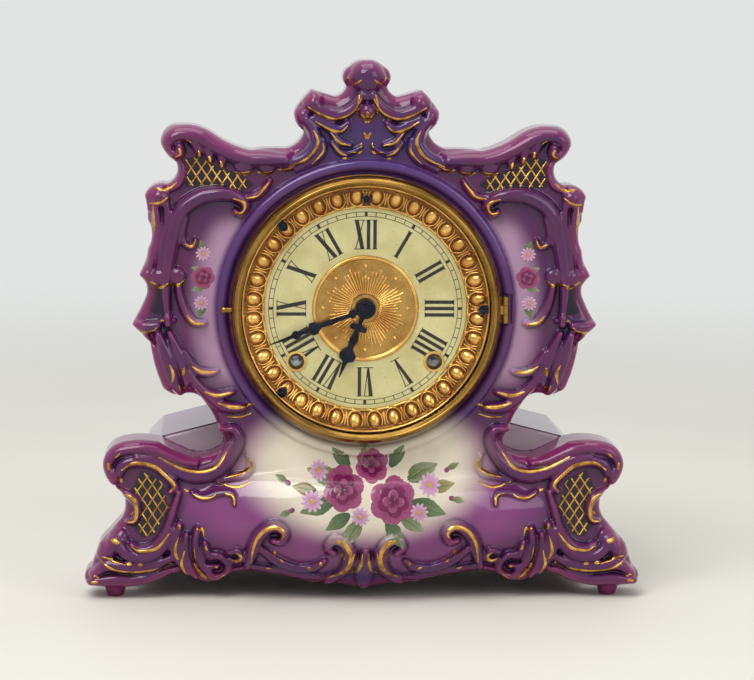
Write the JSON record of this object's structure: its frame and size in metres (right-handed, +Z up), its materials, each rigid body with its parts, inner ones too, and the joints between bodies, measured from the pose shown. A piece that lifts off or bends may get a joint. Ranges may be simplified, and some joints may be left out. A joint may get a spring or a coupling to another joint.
{
  "type": "china mantel clock",
  "caption": "Scrolled glazed china mantel clock with gilt lines, a round hinged glass bezel, a Roman dial, a spring-driven striking movement, a pendulum and a rear door.",
  "frame": {"origin": "centre of the footprint, on the shelf that the feet stand on", "axes": "+Z up, the dial faces -Y, +X to the right of someone reading the dial"},
  "size_m": [0.3054, 0.136, 0.2944],
  "materials": {
    "china": "purple glaze shading to lilac and cream, gilt lines, glossy",
    "bezel_brass": "aged polished brass",
    "gilt_brass": "stamped gilt brass",
    "movement_brass": "satin brass",
    "dial_enamel": "cream enamel with black numerals",
    "glass": "clear bevelled glass",
    "blued_steel": "blued and blackened",
    "steel": "bright steel",
    "spring_steel": "tempered spring strip",
    "iron": "black japanned"
  },
  "bodies": {
    "case": {"china_front": "china", "china_drum": "china", "china_base": "china", "front_pan": "bezel_brass", "sash_ring": "gilt_brass", "dial_plate": "dial_enamel", "dial_center": "gilt_brass", "winding_grommets": "gilt_brass", "case_screws": "steel", "case_clamps": "steel", "bezel_hinge_leaf": "bezel_brass", "back_ring": "bezel_brass", "front_plate": "movement_brass", "back_plate": "movement_brass", "plate_pillars": "steel", "pillar_nuts": "steel", "movement_posts": "movement_brass", "suspension_cock": "movement_brass", "suspension_spring": "spring_steel", "time_mainspring": "spring_steel", "strike_mainspring": "spring_steel", "gong_post": "iron", "gong_coil": "blued_steel"},
    "bezel": {"bezel_ring": "bezel_brass", "bezel_glass": "glass", "glass_retainer": "bezel_brass", "bezel_hinge_pin": "bezel_brass", "bezel_catch": "bezel_brass"},
    "rear_door": {"back_door": "bezel_brass", "back_door_knob": "bezel_brass", "back_hinge_pin": "bezel_brass"},
    "minute": {"center_arbor": "steel", "minute_hand": "blued_steel", "hand_nut": "blued_steel"},
    "minute_work": {"minute_wheel": "movement_brass"},
    "hour": {"hour_wheel": "movement_brass", "hour_hand": "blued_steel"},
    "escape": {"escape_wheel": "movement_brass"},
    "time_third": {"time_third_wheel": "movement_brass"},
    "time_center": {"center_wheel": "movement_brass"},
    "time_second": {"time_second_wheel": "movement_brass"},
    "time_great": {"time_great_wheel": "movement_brass"},
    "time_winding": {"time_winding_arbor": "steel"},
    "time_pawl": {"time_click": "steel"},
    "verge_body": {"verge": "steel"},
    "pendulum": {"pendulum_rod": "steel", "pendulum_bob": "movement_brass"},
    "regulator": {"regulator_arbor": "blued_steel"},
    "regulator_rack": {"regulator_slide": "movement_brass"},
    "strike_great": {"strike_great_wheel": "movement_brass"},
    "strike_winding": {"strike_winding_arbor": "steel"},
    "strike_pawl": {"strike_click": "steel"},
    "strike_second": {"strike_second_wheel": "movement_brass", "count_wheel": "movement_brass"},
    "strike_stop": {"stop_wheel": "movement_brass"},
    "strike_warning": {"warning_wheel": "movement_brass"},
    "strike_fly": {"fly": "movement_brass"},
    "count_lift": {"count_lever": "steel"},
    "hammer": {"hammer_arm": "steel", "hammer_head": "movement_brass"}
  },
  "joints": [
    {"name": "bezel_swing", "type": "hinge", "parent": "case", "child": "bezel", "pos_m": [0.0756, -0.0489, 0.16], "axis": [0, 0, 1], "range_deg": [0, 95]},
    {"name": "back_door_swing", "type": "hinge", "parent": "case", "child": "rear_door", "pos_m": [0.0645, 0.0574, 0.16], "axis": [0, 0, -1], "range_deg": [0, 110]},
    {"name": "minute_hand_turn", "type": "hinge", "parent": "case", "child": "minute", "pos_m": [0, 0, 0.16], "axis": [0, 1, 0], "continuous": true},
    {"name": "minute_wheel_turn", "type": "hinge", "parent": "case", "child": "minute_work", "pos_m": [0.0028, 0, 0.1504], "axis": [0, 1, 0], "continuous": true},
    {"name": "hour_hand_turn", "type": "hinge", "parent": "case", "child": "hour", "pos_m": [0, 0, 0.16], "axis": [0, 1, 0], "continuous": true},
    {"name": "escape_wheel_turn", "type": "hinge", "parent": "case", "child": "escape", "pos_m": [0, 0, 0.191], "axis": [0, 1, 0], "continuous": true},
    {"name": "third_wheel_turn", "type": "hinge", "parent": "case", "child": "time_third", "pos_m": [0.00968, 0, 0.17727], "axis": [0, 1, 0], "continuous": true},
    {"name": "center_wheel_turn", "type": "hinge", "parent": "case", "child": "time_center", "pos_m": [0, 0, 0.16], "axis": [0, 1, 0], "continuous": true},
    {"name": "second_wheel_turn", "type": "hinge", "parent": "case", "child": "time_second", "pos_m": [0.02153, 0, 0.14811], "axis": [0, 1, 0], "continuous": true},
    {"name": "great_wheel_turn", "type": "hinge", "parent": "case", "child": "time_great", "pos_m": [0.0375, 0, 0.131], "axis": [0, 1, 0], "continuous": true},
    {"name": "time_winding_turn", "type": "hinge", "parent": "case", "child": "time_winding", "pos_m": [0.0375, 0, 0.131], "axis": [0, 1, 0], "range_deg": [0, 2160]},
    {"name": "time_click_lift", "type": "hinge", "parent": "time_great", "child": "time_pawl", "pos_m": [0.0375, 0, 0.1416], "axis": [0, -1, 0], "range_deg": [0, 8], "stiffness_Nm_per_rad": 0.002},
    {"name": "pendulum_swing", "type": "hinge", "parent": "case", "child": "pendulum", "pos_m": [0, 0.012, 0.212], "axis": [0, 1, 0], "range_deg": [-4, 4]},
    {"name": "verge_rock", "type": "hinge", "parent": "case", "child": "verge_body", "pos_m": [0, 0.004, 0.212], "axis": [0, 1, 0], "range_deg": [-4, 4]},
    {"name": "regulator_slide_move", "type": "slide", "parent": "case", "child": "regulator_rack", "axis": [0, 0, 1], "range_m": [-0.0025, 0.0025]},
    {"name": "regulator_turn", "type": "hinge", "parent": "case", "child": "regulator", "pos_m": [0, 0, 0.2196], "axis": [0, 1, 0], "range_deg": [-90, 90]},
    {"name": "fly_turn", "type": "hinge", "parent": "case", "child": "strike_fly", "pos_m": [-0.02296, 0, 0.19703], "axis": [0, 1, 0], "continuous": true},
    {"name": "warning_wheel_turn", "type": "hinge", "parent": "case", "child": "strike_warning", "pos_m": [-0.02775, 0, 0.18388], "axis": [0, 1, 0], "continuous": true},
    {"name": "stop_wheel_turn", "type": "hinge", "parent": "case", "child": "strike_stop", "pos_m": [-0.03575, 0, 0.17002], "axis": [0, 1, 0], "continuous": true},
    {"name": "strike_second_turn", "type": "hinge", "parent": "case", "child": "strike_second", "pos_m": [-0.04156, 0, 0.15404], "axis": [0, 1, 0], "continuous": true},
    {"name": "strike_great_turn", "type": "hinge", "parent": "case", "child": "strike_great", "pos_m": [-0.0375, 0, 0.131], "axis": [0, 1, 0], "continuous": true},
    {"name": "strike_winding_turn", "type": "hinge", "parent": "case", "child": "strike_winding", "pos_m": [-0.0375, 0, 0.131], "axis": [0, 1, 0], "range_deg": [0, 2160]},
    {"name": "strike_click_lift", "type": "hinge", "parent": "strike_great", "child": "strike_pawl", "pos_m": [-0.0375, 0, 0.1416], "axis": [0, -1, 0], "range_deg": [0, 8], "stiffness_Nm_per_rad": 0.002},
    {"name": "count_lever_lift", "type": "hinge", "parent": "case", "child": "count_lift", "pos_m": [-0.05, 0, 0.182], "axis": [0, -1, 0], "range_deg": [0, 10]},
    {"name": "hammer_lift", "type": "hinge", "parent": "case", "child": "hammer", "pos_m": [-0.021, 0, 0.108], "axis": [0, -1, 0], "range_deg": [0, 12], "stiffness_Nm_per_rad": 0.02}
  ],
  "couplings": [
    {"joint": "minute_wheel_turn", "follows": "minute_hand_turn", "ratio": -0.33333},
    {"joint": "hour_hand_turn", "follows": "minute_hand_turn", "ratio": 0.083333},
    {"joint": "third_wheel_turn", "follows": "escape_wheel_turn", "ratio": -0.11111},
    {"joint": "center_wheel_turn", "follows": "escape_wheel_turn", "ratio": 0.011111},
    {"joint": "second_wheel_turn", "follows": "escape_wheel_turn", "ratio": -0.0019048},
    {"joint": "great_wheel_turn", "follows": "escape_wheel_turn", "ratio": 0.00034632},
    {"joint": "verge_rock", "follows": "pendulum_swing", "ratio": 1},
    {"joint": "regulator_turn", "follows": "regulator_slide_move", "rad_per_m": -625},
    {"joint": "warning_wheel_turn", "follows": "fly_turn", "ratio": -0.16667},
    {"joint": "stop_wheel_turn", "follows": "fly_turn", "ratio": 0.02381},
    {"joint": "strike_second_turn", "follows": "fly_turn", "ratio": -0.0031746},
    {"joint": "strike_great_turn", "follows": "fly_turn", "ratio": 0.0005772}
  ]
}
